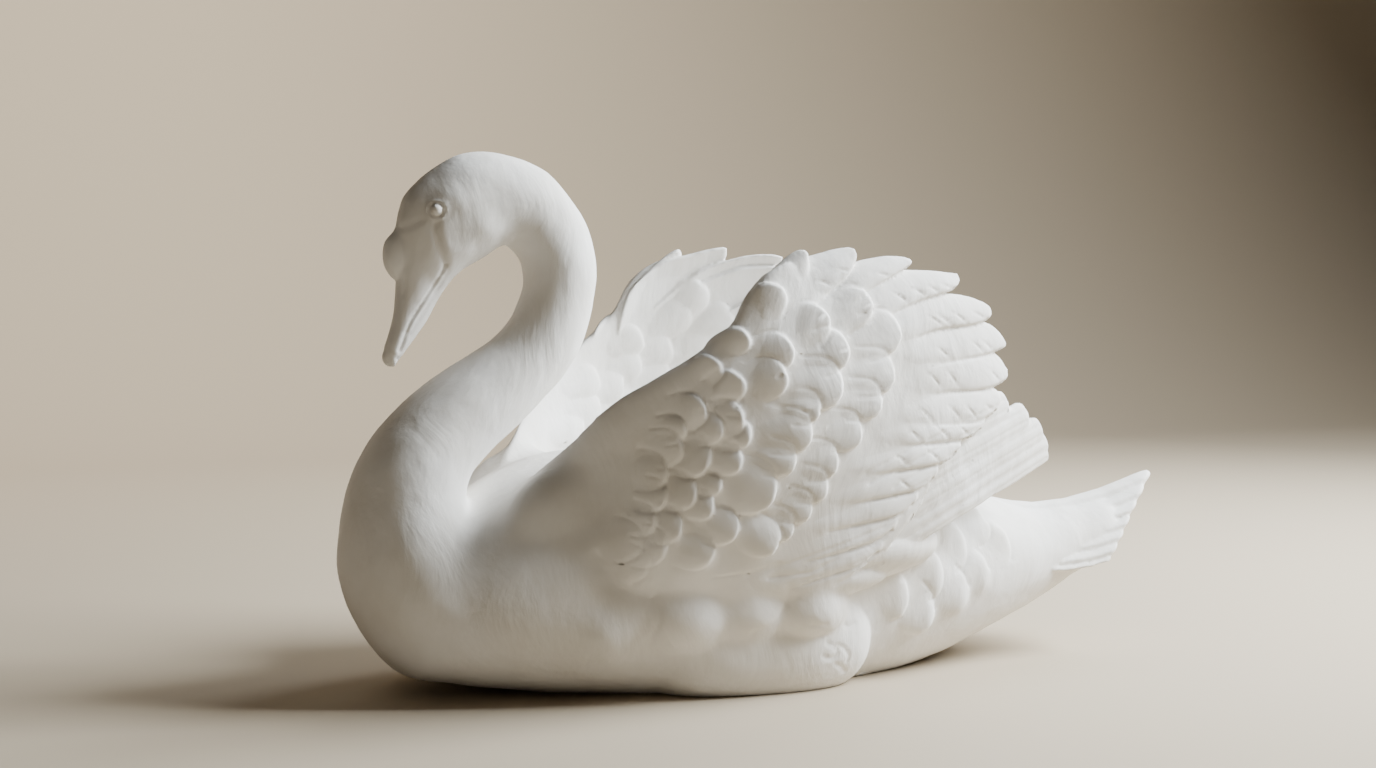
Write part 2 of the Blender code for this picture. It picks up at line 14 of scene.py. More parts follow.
import bmesh
import bpy
import numpy as np
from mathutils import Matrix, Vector


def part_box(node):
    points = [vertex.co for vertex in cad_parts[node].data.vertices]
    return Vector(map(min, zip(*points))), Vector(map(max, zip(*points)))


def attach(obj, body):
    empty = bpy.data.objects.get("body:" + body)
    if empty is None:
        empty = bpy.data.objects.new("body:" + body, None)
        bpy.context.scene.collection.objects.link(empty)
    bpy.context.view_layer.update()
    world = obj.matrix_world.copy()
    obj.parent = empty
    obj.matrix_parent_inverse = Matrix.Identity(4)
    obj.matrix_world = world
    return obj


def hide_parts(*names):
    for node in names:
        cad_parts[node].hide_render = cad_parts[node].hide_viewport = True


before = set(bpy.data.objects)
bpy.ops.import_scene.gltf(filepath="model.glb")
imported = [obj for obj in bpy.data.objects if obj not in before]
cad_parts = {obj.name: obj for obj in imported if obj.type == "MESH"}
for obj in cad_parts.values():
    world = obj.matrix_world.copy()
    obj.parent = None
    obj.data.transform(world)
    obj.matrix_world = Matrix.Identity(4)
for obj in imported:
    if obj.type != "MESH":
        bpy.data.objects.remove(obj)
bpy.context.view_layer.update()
LOW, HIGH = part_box("swan")
print("the frame is", [round(high - low, 4) for low, high in zip(LOW, HIGH)], "m")

# %% [markdown]
# ## The drawing
# The tables below are in drawing units, as a sculptor's drawing has its own scale. One unit is about a
# millimetre here, and it is worked out from the frame, so that the drawing always fits the solid. +X runs
# from the breast to the tail, +Z is up, and Y is 0 in the middle of the bird. DRAWN_MIDDLE is the place in
# the drawing that stands over the frame's origin.

# %% Drawing units
DRAWN_LENGTH = 887.3
DRAWN_MIDDLE = 6.2
UNIT = (HIGH.x - LOW.x) / DRAWN_LENGTH

print("one drawing unit is", round(UNIT * 1000, 4), "mm")

# %% [markdown]
# ## One tool for every form
# A flat grid can be rolled into any closed form: its long side becomes the length, its short side goes once
# round, and the ends close to a point. Blender makes the grid, a function says where each of its points
# goes, and remove_doubles then welds the seam and the two ends. Each form is made by itself and then added
# to the clay. smooth_through draws a smooth curve through a few chosen rows of numbers, so a form needs
# only as many rows as a drawing would have.

# %% The rolled grid
def smooth_through(rows, share):
    """Values on a smooth curve through the rows, at shares of its length from 0 to 1."""
    rows = np.array(rows, float)
    gaps = np.linalg.norm(np.diff(rows, axis=0), axis=1)
    knots = np.concatenate([[0.0], np.cumsum(gaps)]) / gaps.sum()
    slopes = np.gradient(rows, knots, axis=0)
    at = np.clip(np.searchsorted(knots, share, side="right") - 1, 0, len(rows) - 2)
    width = (knots[at + 1] - knots[at])[:, None]
    s = (share - knots[at])[:, None] / width
    start = (2 * s**3 - 3 * s**2 + 1) * rows[at] + (s**3 - 2 * s**2 + s) * width * slopes[at]
    end = (3 * s**2 - 2 * s**3) * rows[at + 1] + (s**3 - s**2) * width * slopes[at + 1]
    return start + end


def rolled_form(bm, grid, place):
    """A grid rolled into one closed form. place(u, v) gives its points: u from end to end, v once round."""
    form = bmesh.new()
    flat = bmesh.ops.create_grid(form, x_segments=grid[0], y_segments=grid[1], size=0.5)["verts"]
    u = np.array([vert.co.x for vert in flat]) + 0.5
    v = np.array([vert.co.y for vert in flat]) + 0.5
    for vert, point in zip(flat, place(u, v) * UNIT):
        vert.co = point
    bmesh.ops.remove_doubles(form, verts=form.verts, dist=UNIT * 0.001)
    bmesh.ops.recalc_face_normals(form, faces=form.faces)
    rolled = bpy.data.meshes.new("rolled form")
    form.to_mesh(rolled)
    form.free()
    bm.from_mesh(rolled)
    bpy.data.meshes.remove(rolled)


def curved_power(value, power):
    """The value's size to the power, with the value's own sign."""
    return np.sign(value) * np.abs(value) ** power


# %% [markdown]
# ## Body, neck, head and bill
# From the tail to the tip of the bill the bird is one long tube that changes its size and direction. Each
# row is a ring: its underside (x, z), its upper side (x, z), half its width, how much wider it is below
# than above, and how round it is. Rings can lean, so the tube follows the S of the neck and folds over into
# the head without a joint.

# %% Rings of the body and the neck
BODY = (
    (398, 122, 398, 122, 0, 0, 1),
    (388, 97, 396, 152, 34, 0, 1),
    (333, 66, 344, 149, 52, 0, 1),
    (290, 45, 300, 148, 66, 0, 1),
    (249, 29, 262, 157, 82, 0, 0.95),
    (200, 10, 210, 178, 101, 0, 0.9),
    (150, -6, 155, 197, 117, 0, 0.85),
    (80, -22, 80, 212, 131, 0.02, 0.8),
    (0, -34, 0, 222, 142, 0.06, 0.72),
    (-90, -29, -80, 226, 150, 0.08, 0.65),
    (-190, -11, -165, 226, 152, 0.08, 0.65),
    (-274, -1, -235, 218, 143, 0.08, 0.7),
    (-339, 8, -280, 203, 128, 0.08, 0.8),
    (-384, 18, -305, 190, 113, 0.06, 0.9),
    (-427, 78, -316, 180, 101, 0.03, 1),
    (-437, 117, -318, 184, 92, 0, 1),
)
NECK = (
    (-436, 150, -317, 189, 84, 0, 1),
    (-433, 175, -314, 201, 76, 0, 1),
    (-423, 209, -308, 211, 68, 0, 1),
    (-404, 243, -299, 220, 60, 0, 1),
    (-381, 269, -286, 232, 53, 0, 1),
    (-334, 306, -258, 256, 45, 0, 1),
    (-309, 321, -236, 278, 41, 0, 1),
    (-285, 336, -216, 299, 39, 0, 1),
    (-268, 354, -200, 325, 38, 0, 1),
    (-258, 374, -189, 359, 37, 0, 1),
    (-254, 391, -183, 397, 37, 0, 1),
    (-257, 410, -186, 423, 37, 0, 1),
    (-265, 421, -195, 451, 37, 0, 1),
)

# %% Rings of the head and the bill
HEAD = (
    (-273, 426, -213, 478, 37, 0, 1),
    (-277, 425, -235, 498, 37, 0, 1),
    (-284, 422, -265, 511, 37.5, 0.02, 0.95),
    (-294, 415, -297, 515, 38, 0.05, 0.9),
    (-305, 409, -322, 511, 38, 0.08, 0.9),
    (-316, 403, -342, 500, 36.5, 0.10, 0.9),
    (-324, 396, -359, 487, 33.5, 0.10, 0.9),
    (-330, 389, -373, 471, 30, 0.08, 0.95),
    (-336, 381, -380, 449, 25, 0.06, 0.95),
)
BILL = (
    (-339, 376, -381, 428, 21, 0, 0.9),
    (-344, 368, -380, 399, 17.5, 0, 0.85),
    (-352, 354, -381, 379, 15.5, 0, 0.8),
    (-364, 337, -384, 355, 14.5, 0, 0.8),
    (-374, 323, -389, 338, 14, 0, 0.8),
    (-380, 315, -393, 326, 12, 0, 0.9),
    (-383, 310, -389, 314, 7, 0, 1),
    (-385, 310, -385, 310, 0, 0, 1),
)
BODY_GRID = (320, 96)


def body_tube(bm):
    """Body, neck, head and bill, as one tube of rings."""

    def place(u, v):
        rows = BODY + NECK + HEAD + BILL
        under_x, under_z, over_x, over_z, half, low, roundness = smooth_through(rows, u).T
        turn = 2 * math.pi * v
        up = np.cos(turn)
        x = (under_x + over_x) / 2 + (over_x - under_x) / 2 * up
        z = (under_z + over_z) / 2 + (over_z - under_z) / 2 * up
        y = np.maximum(half, 0) * curved_power(np.sin(turn), roundness) * (1 - low * up)
        return np.stack([x, y, z], axis=1)

    rolled_form(bm, BODY_GRID, place)


clay = bmesh.new()
body_tube(clay)
print("the body tube has", len(clay.verts), "points")

# %% [markdown]
# ## Lumps of clay
# Where the bird swells, the sculptor pressed on a lump of clay. An egg does that: the knob over the bill
# and the nail at its tip, the eyes, the thigh with its soft lumps, the shoulder, and the pads under the
# wings that join them to the back. All but the knob and the nail are mirrored for the far side. The small
# pads on the rump are seated on the body's own side, so that each stands out by the same amount.

# %% Eggs
# Each egg is its centre and its radii, along X, Y and Z.
KNOB = ((-376, 0, 417), (17, 14, 25))
NAIL = ((-387, 0, 320), (8, 9, 10))
EYE = ((-348, 30, 459), (6, 5.5, 6))
THIGH = ((-54, 100, 48), (115, 62, 68))
THIGH_BLUNT = 0.55
FLANK = (
    ((-20, 124, 84), (52, 53, 40)),
    ((-80, 122, 84), (56, 54, 42)),
    ((-138, 120, 82), (58, 53, 46)),
    ((-200, 110, 76), (60, 45, 52)),
    ((-204, 116, 115), (36, 30, 24)),
    ((-110, 122, 150), (112, 56, 60)),
    ((20, 118, 136), (112, 60, 36)),
    ((-30, 148, 113), (96, 31, 24)),
    ((-234, 86, 152), (70, 40, 70)),
)
EGG_GRID = (36, 40)


def egg(bm, centre, radii, side=1, blunt=1.0):
    """An egg that lies along X. A blunt below 1 makes its ends fuller."""

    def place(u, v):
        turn = 2 * math.pi * v
        ring = np.sin(math.pi * u) ** blunt
        x = centre[0] - radii[0] * np.cos(math.pi * u)
        y = centre[1] + radii[1] * ring * np.cos(turn)
        z = centre[2] + radii[2] * ring * np.sin(turn)
        return np.stack([x, side * y, z], axis=1)

    rolled_form(bm, EGG_GRID, place)


egg(clay, *KNOB)
egg(clay, *NAIL)
for side in (1, -1):
    for centre, radii in (EYE,) + FLANK:
        egg(clay, centre, radii, side)
    egg(clay, *THIGH, side, THIGH_BLUNT)
print("knob, eyes, thighs and", 2 * len(FLANK), "lumps of the flanks")

# %% Pads of the rump
# Each pad is its middle (x, z), its reach along the body and half its height.
RUMP_PADS = (
    (214, 122, 44, 24),
    (186, 146, 44, 22),
    (180, 99, 44, 25),
    (152, 128, 44, 26),
    (152, 84, 44, 26),
    (118, 144, 44, 24),
    (120, 104, 44, 28),
    (110, 70, 44, 28),
    (84, 126, 44, 26),
    (78, 88, 44, 28),
)
PAD_PROUD = 9.0
PAD_SUNK = 4.0
PAD_DEPTH = 14.0
PAD_DROOP = 0.25
PAD_BEHIND = 0.5
PAD_BEFORE = 1.2
PAD_SQUARE = 0.5
SLOPE_SPAN = 20.0
MOST_UP = 0.98


def body_side(x, z):
    """How far the body's side stands from the middle plane, over the rump and the flank."""
    rows = np.array(sorted(BODY[1:11], key=lambda row: row[0]), float)
    middle = (rows[:, 0] + rows[:, 2]) / 2
    under, over, half, low, roundness = (np.interp(x, middle, rows[:, k]) for k in (1, 3, 4, 5, 6))
    up = min(max((2 * z - under - over) / (over - under), -MOST_UP), MOST_UP)
    return half * (1 - up * up) ** (roundness / 2) * (1 - low * up)


def rump_pad(bm, x, z, along, up, side):
    """A soft scale on the body's side. It rises slowly from the front and ends in a steep round edge."""

    def place(u, v):
        ahead = -np.cos(math.pi * u)
        ring = np.sin(math.pi * u)
        turn = 2 * math.pi * v
        seat = PAD_PROUD * (1 + ahead) / 2 - PAD_SUNK * (1 - ahead) / 2
        out = body_side(x, z) + seat + PAD_DEPTH * (curved_power(ring * np.cos(turn), PAD_SQUARE) - 1)
        reach = ahead * along * np.where(ahead < 0, PAD_BEFORE, PAD_BEHIND)
        spot_x = x + reach
        spot_z = z - PAD_DROOP * reach + up * ring * np.sin(turn)
        slope = (body_side(x + SLOPE_SPAN, z) - body_side(x - SLOPE_SPAN, z)) / (2 * SLOPE_SPAN)
        return np.stack([spot_x, side * (out + slope * reach), spot_z], axis=1)

    rolled_form(bm, EGG_GRID, place)


for side in (1, -1):
    for pad in RUMP_PADS:
        rump_pad(clay, *pad, side)
print(2 * len(RUMP_PADS), "pads on the rump")

# %% [markdown]
# ## The wing's sheet
# A raised wing is a curved sheet. wing_out says how far it stands out from the middle of the bird at each
# place: furthest at one spot, and falling away from there, faster towards the front. on_wing lifts a point
# off that sheet along its own normal, so that feathers can be drawn flat, as on paper, and then laid on the
# wing. The foot of the front edge is tucked into the breast. The solid arm under the feathers is a rolled
# grid too.

# %% The sheet and the arm
WING_OUT = 197.0
WING_MID_X = -40.0
WING_MID_Z = 250.0
WING_FALL_BACK = 1.0e-3
WING_FALL_FRONT_LOW = 1.4e-3
WING_FALL_FRONT_HIGH = 2.57e-3
WING_FALL_Z = 0.93e-3
WING_TURN_Z = (130.0, 110.0)
TUCK = 32.0
TUCK_X = (-160.0, 100.0)
TUCK_Z = (270.0, 90.0)


def wing_out(x, z):
    """How far the wing's sheet stands from the middle plane."""
    high = np.clip((z - WING_TURN_Z[0]) / WING_TURN_Z[1], 0, 1)
    high = high * high * (3 - 2 * high)
    front = WING_FALL_FRONT_LOW + (WING_FALL_FRONT_HIGH - WING_FALL_FRONT_LOW) * high
    fall = np.where(x < WING_MID_X, front, WING_FALL_BACK)
    tucked = np.clip((TUCK_X[0] - x) / TUCK_X[1], 0, 1) ** 1.5 * np.clip((TUCK_Z[0] - z) / TUCK_Z[1], 0, 1)
    return WING_OUT - fall * (x - WING_MID_X) ** 2 - WING_FALL_Z * (z - WING_MID_Z) ** 2 - TUCK * tucked


def on_wing(x, z, lift, side):
    """A point of the wing, lifted off its sheet along the sheet's own normal."""
    y = wing_out(x, z)
    slope_x = (wing_out(x + 1, z) - wing_out(x - 1, z)) / 2
    slope_z = (wing_out(x, z + 1) - wing_out(x, z - 1)) / 2
    size = np.sqrt(1 + slope_x**2 + slope_z**2)
    return np.stack(
        [x - lift * slope_x / size, side * (y + lift / size), z - lift * slope_z / size], axis=1
    )


ARM_FRONT = (
    (-196, 104),
    (-240, 138),
    (-268, 170),
    (-274, 194),
    (-255, 222),
    (-230, 253),
    (-203, 281),
    (-161, 311),
    (-127, 335),
    (-105, 356),
    (-92, 380),
    (-75, 399),
    (-52, 412),
)
ARM_REAR = (
    (-30, 104),
    (20, 118),
    (62, 146),
    (90, 180),
    (108, 215),
    (118, 245),
    (120, 275),
    (112, 305),
    (92, 332),
    (62, 355),
    (30, 375),
    (0, 392),
    (-30, 405),
)
# How far the arm's two faces stand off the sheet, from its front edge at -1 to its rear edge at 1.
ARM_OUTER = ((-0.9, -0.55, -0.3, -0.05, 0.2, 0.45), (13.0, 9.2, 7.0, 5.2, 3.6, 2.0))
ARM_INNER = ((-0.9, 0.0, 0.9), (9.0, 6.0, 3.0))
ARM_END_POWER = 14
ARM_END_WIDTH = 0.6
ARM_GRID = (90, 90)


def wing_arm(bm, side):
    """The solid sheet of the wing under its feathers, thick at the arm and thin behind."""

    def place(u, v):
        front = smooth_through(ARM_FRONT, u)
        rear = smooth_through(ARM_REAR, u)
        closing = (1 - np.abs(2 * u - 1) ** ARM_END_POWER) ** 0.5
        width = ARM_END_WIDTH + (1 - ARM_END_WIDTH) * closing
        turn = 2 * math.pi * v
        back = -np.cos(turn)
        spot = (front + rear) / 2 + (rear - front) / 2 * back[:, None] * width[:, None]
        outer = np.interp(back, *ARM_OUTER)
        inner = np.interp(back, *ARM_INNER)
        lift = np.where(v < 0.5, outer, inner) * curved_power(np.sin(turn), 0.8) * closing
        return on_wing(spot[:, 0], spot[:, 1], lift, side)

    rolled_form(bm, ARM_GRID, place)


for side in (1, -1):
    wing_arm(clay, side)
print("the wing stands", round(float(wing_out(0.0, 250.0)) * UNIT * 1000), "mm out at its middle")

# %% [markdown]
# ## A feather
# A cast feather isn't thin: it is a flat pillow with a thick round rim, and the rim is what catches the
# light. Each one is drawn by its tip, the way it points, its length and half its width. It narrows to its
# root, which sinks into the arm, and its lower edge is lifted a little over the feather below, as on a real
# wing. A feather may also bend, taper, have a long or a short rounding at its tip (blunt), and lean, which
# moves the tip from its middle line to its upper edge. vane is the drawing on paper, and the same function
# later says where the fine cuts go.

# %% Feather forms
FEATHER_GRID = (44, 36)
ROOT_PART = 0.5
ROOT_WIDTH = 0.45
BEND_FROM = 0.4
TIP_POWER = 2.4


def drawn(x, z, heading, long, half, bend=0.0, lean=0.0, taper=0.0, blunt=1.1):
    """A feather's drawing, by its tip (x, z), its heading in degrees, its length and half its width."""
    size = {"tip": (x, z), "heading": heading, "long": long, "half": half}
    return size | {"bend": bend, "lean": lean, "taper": taper, "blunt": blunt}


def vane(shape, u, across):
    """A place on a drawn feather: u runs from root to tip, across from -1 (upper edge) to 1 (lower edge)."""
    long, half = shape["long"], shape["half"]
    root_end = np.clip(u / ROOT_PART, 0, 1)
    round_from = 1 - shape["blunt"] * half / long
    round_end = np.clip((u - round_from) / (1 - round_from), 0, 1)
    late = np.clip((u - BEND_FROM) / (1 - BEND_FROM), 0, 1)
    full = (ROOT_WIDTH + (1 - ROOT_WIDTH) * root_end * (2 - root_end)) * (1 - shape["taper"] * late)
    wide = full * (1 - round_end**TIP_POWER) ** 0.5
    curve = late**2 - 1
    sideways = half * (across * wide - shape["lean"] * (full - wide) + shape["bend"] * curve)
    turn = math.radians(shape["heading"])
    ahead = (math.cos(turn), math.sin(turn))
    reach = (u - 1) * long
    x = shape["tip"][0] + reach * ahead[0] + sideways * ahead[1]
    z = shape["tip"][1] + reach * ahead[1] - sideways * ahead[0]
    return x, z, round_end


def feather(bm, shape, lift, side, face=1, thick=7.0, crown=2.0, tilt=2.5, rim=0.0):
    """One feather on the sheet: a flat pillow with a round tip, a raised rim and a lifted lower edge."""

    def place(u, v):
        across = -np.cos(2 * math.pi * v)
        outer = np.sin(2 * math.pi * v)
        x, z, round_end = vane(shape, u, across)
        ends = np.sqrt(np.clip(u / 0.4, 0, 1) * np.clip((1 - u) * shape["long"] / 3, 0, 1))
        dome = (1 - across**2) * (1 - round_end**2)
        rise = lift[0] + (lift[1] - lift[0]) * u**1.3 + crown * dome + tilt * across
        rise += rim * u**4 * (1 - dome)
        pillow = 0.5 * thick * (curved_power(outer, 0.6) * ends - 1)
        return on_wing(x, z, face * (rise + pillow), side)

    rolled_form(bm, FEATHER_GRID, place)


# %% [markdown]
# ## The fan and the flight feathers
# The long feathers spread like a fan. The upper ones bend backwards and end in a corner, which gives the
# wing its jagged crest, and lower down the tips turn round. A second bundle lies under the fan and points
# to the tail.

# %% Long feathers
# FAN_LIFT and FAN_TILT change along the fan: its feathers' numbers, and the values there.
FAN = (
    drawn(-31, 421, 61, 118, 26.5, bend=0.25, lean=0.2, taper=0.6, blunt=1.5),
    drawn(23, 418, 22, 120, 24.5, bend=-0.1, lean=0.55, taper=0.55),
    drawn(85, 411, 30.5, 150, 18, bend=1.15, lean=0.25, taper=0.4, blunt=2.6),
    drawn(143, 391.5, 12, 170, 23.5, bend=0.45, lean=1.0, taper=0.65, blunt=0.85),
    drawn(184, 357, 19.5, 185, 20, bend=1.8, lean=0.7, taper=0.15, blunt=2.6),
    drawn(198, 339, 5, 185, 18, lean=-0.5, blunt=2.6),
    drawn(200, 303, 7.5, 185, 25, bend=0.75, lean=0.1, blunt=2.6),
    drawn(189, 271, 2, 185, 19.5, bend=0.35, lean=0.6, blunt=2.6),
    drawn(168, 256, 1, 185, 18, lean=0.6, blunt=2.2),
    drawn(136, 236, 4, 185, 18, lean=0.6, blunt=2.2),
    drawn(108, 213, 6, 185, 18, lean=0.6, blunt=2.2),
    drawn(84, 190, 8, 185, 17, lean=0.6, blunt=2.2),
    drawn(62, 167, 11, 185, 17, lean=0.6, blunt=2.2),
    drawn(48, 146, 14, 185, 16, lean=0.6, blunt=2.2),
)
FAN_LIFT = ((0, 7, 13), (3.0, 3.0, -0.5))
FAN_TILT = ((7, 9), (3.0, 4.4))
FAN_FORM = {"thick": 7.5, "crown": 2.8}
FLIGHT = (
    drawn(212, 272, 22, 285, 16, bend=0.75),
    drawn(243, 259, 22.5, 285, 15, bend=0.8),
    drawn(267, 243, 23, 285, 13.5, bend=0.9),
    drawn(277, 228.5, 23.5, 285, 12, bend=1.0),
    drawn(279, 217, 23.5, 285, 11, bend=1.1),
)
FLIGHT_LIFT = (-5.0, -4.0)
FLIGHT_FORM = {"thick": 9.0, "crown": 0.8, "tilt": 1.1}

for side in (1, -1):
    for number, shape in enumerate(FAN):
        lift, tilt = float(np.interp(number, *FAN_LIFT)), float(np.interp(number, *FAN_TILT))
        feather(clay, shape, (-2.0, lift), side, tilt=tilt, **FAN_FORM)
    for shape in FLIGHT:
        feather(clay, shape, FLIGHT_LIFT, side, **FLIGHT_FORM)
print(2 * (len(FAN) + len(FLIGHT)), "long feathers")

# %% [markdown]
# ## The coverts
# Between the shoulder and the fan lie the coverts: short puffy feathers, each with its own size. They are
# laid from the fan towards the shoulder, and each row rides a little higher than the one it covers, except
# the last, which runs out softly into the arm. A row here is a covert's tip (x, z), the way it points, its
# length and half its width. The inner face of the wing has softer ones.

# %% Outer coverts
COVERTS = {
    "over the fan": (
        (29, 378, 28, 84, 21),
        (60, 349, 14, 90, 23),
        (52, 308, 0, 90, 23),
        (37, 281, -4, 80, 20),
        (16, 253, -4, 70, 20),
        (-9, 226, -5, 70, 20),
        (-19, 202, -10, 65, 18),
        (-34, 182, -14, 65, 17),
        (-51, 164, -18, 65, 17),
    ),
    "middle": (
        (-21, 366, 42, 66, 22),
        (1, 334, 15, 70, 22),
        (-6, 297, -2, 90, 25),
        (-29, 275, -8, 56, 17),
        (-37, 254, -5, 84, 22),
        (-52, 228, -12, 62, 18),
        (-70, 202, -10, 84, 28),
        (-66, 151, -25, 66, 20),
    ),
    "high": (
        (-55, 335, 25, 60, 20),
        (-62, 312, 25, 64, 21),
        (-92, 253, -5, 52, 16),
        (-100, 228, -12, 52, 16),
        (-117, 206, -10, 44, 12),
        (-103, 166, -15, 62, 19),
        (-125, 140, -25, 60, 20),
    ),
    "shoulder": (
        (-66, 389, 66, 62, 17),
        (-93, 344, 30, 44, 14),
        (-102, 308, 45, 56, 17),
        (-99, 273, 15, 54, 18),
        (-115, 259, 0, 48, 16),
        (-126, 228, -18, 58, 22),
        (-138, 198, -10, 54, 19),
        (-124, 185, -15, 50, 16),
        (-151, 166, -15, 52, 19),
        (-164, 146, -15, 52, 20),
    ),
    "first": (
        (-120, 322, 45, 44, 14),
        (-131, 282, 25, 54, 18),
        (-146, 262, 15, 46, 14),
        (-148, 243, 8, 52, 19),
        (-160, 218, -5, 54, 20),
        (-162, 193, -15, 46, 17),
        (-171, 171, -12, 44, 16),
        (-183, 152, -10, 50, 20),
        (-178, 128, -20, 50, 18),
    ),
}
COVERT_LIFT = {
    "over the fan": (-1, 7),
    "middle": (0, 10.5),
    "high": (1, 12),
    "shoulder": (2, 12.8),
    "first": (3, 12.5),
}
COVERT_FORM = {
    "over the fan": {"thick": 8.0, "crown": 1.8, "tilt": 2.0, "rim": 1.5},
    "middle": {"thick": 9.0, "crown": 3.2, "tilt": 1.8, "rim": 1.5},
    "high": {"thick": 9.0, "crown": 2.8, "tilt": 1.2, "rim": 1.5},
    "shoulder": {"thick": 9.0, "crown": 2.4, "tilt": 1.0, "rim": 1.2},
    "first": {"thick": 9.0, "crown": 2.0, "tilt": 0.6, "rim": 0.8},
}

for side in (1, -1):
    for row, tips in COVERTS.items():
        for tip in tips:
            feather(clay, drawn(*tip), COVERT_LIFT[row], side, **COVERT_FORM[row])
print(2 * sum(len(tips) for tips in COVERTS.values()), "outer coverts")

# %% Inner coverts
INNER_ROWS = (
    ((31, 355), (11, 324), (5, 290), (-8, 255), (-20, 222)),
    ((-6, 388), (-20, 362), (-36, 318), (-37, 288), (-60, 255), (-75, 225)),
    ((-74, 330), (-74, 300), (-96, 278), (-129, 284), (-127, 252), (-150, 232)),
)
INNER_LIFT = ((2, 9), (2, 11), (2, 13))
INNER_LONG = (90, 80, 62)
INNER_HALF = (25, 23, 20)
INNER_FORM = {"thick": 10.0, "crown": 4.0, "tilt": 1.2}
INNER_HEADING = ((150, 200, 250, 300, 340, 375, 410), (14, 4, 2, 10, 26, 44, 70))

for side in (1, -1):
    for tips, lift, long, half in zip(INNER_ROWS, INNER_LIFT, INNER_LONG, INNER_HALF):
        for x, z in tips:
            heading = float(np.interp(z, *INNER_HEADING))
            feather(clay, drawn(x, z, heading, long, half), lift, side, face=-1, **INNER_FORM)
print(2 * sum(len(tips) for tips in INNER_ROWS), "inner coverts")

# %% [markdown]
# ## The tail
# The tail is one arched sheet. Its feathers step down from the middle one to each side, like roof tiles,
# and each ends in its own scallop. It could be made of single feathers, but the cast shows only their
# edges, so the steps and the scallops are drawn straight into the sheet.

# %% The tail's fan
TAIL_RIDGE = ((236, 160), (282, 151), (309, 147), (346, 150), (392, 159), (430, 171), (453, 178))
TAIL_CORNER_BACK = 85.0
TAIL_HALF_WIDTH = (70.0, 60.0)
TAIL_DROP = 60.0
TAIL_FEATHERS = 6
TAIL_CROWDING = 1.5
TAIL_STEP = 4.0
TAIL_GROOVE = 3.5
TAIL_SCALLOP = 2.5
TAIL_HALF_THICK = 4.5
TAIL_ARCH = 1.5
TAIL_STEPS_FROM = 0.15
TAIL_STEPS_FADE = 0.2
TAIL_GROOVE_HALF = 0.14
TAIL_GRID = (90, 220)


def tail_fan(bm):
    """The tail's arched sheet, with its feathers' steps, grooves and scallops."""

    def place(u, v):
        across = -np.cos(2 * math.pi * v)
        outer = np.sin(2 * math.pi * v)
        out = np.abs(across)
        rank = out**TAIL_CROWDING * TAIL_FEATHERS + 0.5
        within = rank - np.floor(rank)
        scallop = (2 * within - 1) ** 2
        ridge_x = np.array(TAIL_RIDGE, float)
        end = ridge_x[-1, 0] - TAIL_CORNER_BACK * out**1.2 - TAIL_SCALLOP * scallop
        x = ridge_x[0, 0] + (end - ridge_x[0, 0]) * u
        top = np.interp(x, ridge_x[:, 0], ridge_x[:, 1])
        half = TAIL_HALF_WIDTH[0] + (TAIL_HALF_WIDTH[1] - TAIL_HALF_WIDTH[0]) * u
        slope = TAIL_ARCH * TAIL_DROP * out ** (TAIL_ARCH - 1) / half * np.sign(across)
        size = np.sqrt(1 + slope**2)
        ends = np.sqrt(np.clip(u / 0.05, 0, 1) * np.clip((1 - u) / 0.02, 0, 1))
        shown = (outer > 0) * np.clip((u - TAIL_STEPS_FROM) / TAIL_STEPS_FADE, 0, 1)
        edge = np.minimum(within, 1 - within)
        groove = TAIL_GROOVE * np.exp(-((edge / TAIL_GROOVE_HALF) ** 2))
        step = shown * (TAIL_STEP * (within - 0.5) - groove)
        lift = TAIL_HALF_THICK * curved_power(outer, 0.5) * ends + step
        y = across * half + lift * slope / size
        z = top - TAIL_DROP * out**TAIL_ARCH + lift / size
        return np.stack([x, y, z], axis=1)

    rolled_form(bm, TAIL_GRID, place)


tail_fan(clay)
print("all the clay has", len(clay.verts), "points")

# %% [markdown]
# ## Fusing the forms
# Joining this many forms with Booleans would leave hundreds of sharp seams. The Remesh modifier in voxel
# mode wraps one even skin over all of them instead, as a coat of wet plaster would. Its cells are small
# enough to keep the rims of the feathers. A short Smooth takes off the stair steps.

# %% One skin
SKIN_CELL = 1.6


def applied(obj):
    """Puts what the object's modifiers make into its own mesh."""
    graph = bpy.context.evaluated_depsgraph_get()
    made = bpy.data.meshes.new_from_object(obj.evaluated_get(graph))
    obj.modifiers.clear()
    old = obj.data
    obj.data = made
    bpy.data.meshes.remove(old)


swan = bpy.data.objects.new("plaster_swan", bpy.data.meshes.new("plaster_swan"))
bpy.context.scene.collection.objects.link(swan)
clay.to_mesh(swan.data)
clay.free()

skin = swan.modifiers.new("one skin", "REMESH")
skin.mode = "VOXEL"
skin.voxel_size = SKIN_CELL * UNIT
even = swan.modifiers.new("stair steps off", "SMOOTH")
even.factor = 0.5
even.iterations = 2
applied(swan)
print("the skin has", len(swan.data.vertices), "points")

# %% [markdown]
# ## Easing the joints
# On the cast the wing grows out of the breast and the neck out of the body with no edge. A Smooth modifier
# does that where a vertex group lets it: the group is strong near a few chosen places and fades out round
# them. Each place is a centre, a reach and a share.

# %% Eased places
EASED = (
    ((-262, 88, 188), 95, 1.0),
    ((-222, 140, 122), 68, 1.0),
    ((-316, 0, 190), 60, 0.5),
    ((-100, 150, 85), 75, 0.55),
    ((-180, 140, 80), 95, 0.8),
    ((-30, 170, 112), 50, 0.5),
    ((20, 160, 84), 40, 0.2),
    ((170, 90, 100), 100, 0.25),
    ((-385, 0, 452), 24, 0.3),
    ((-120, 92, 200), 75, 0.6),
    ((20, 84, 178), 70, 0.6),
)
EASE_DEPTH = 30.0
EASE_FADE = 1.6
EASE_STEPS = 20


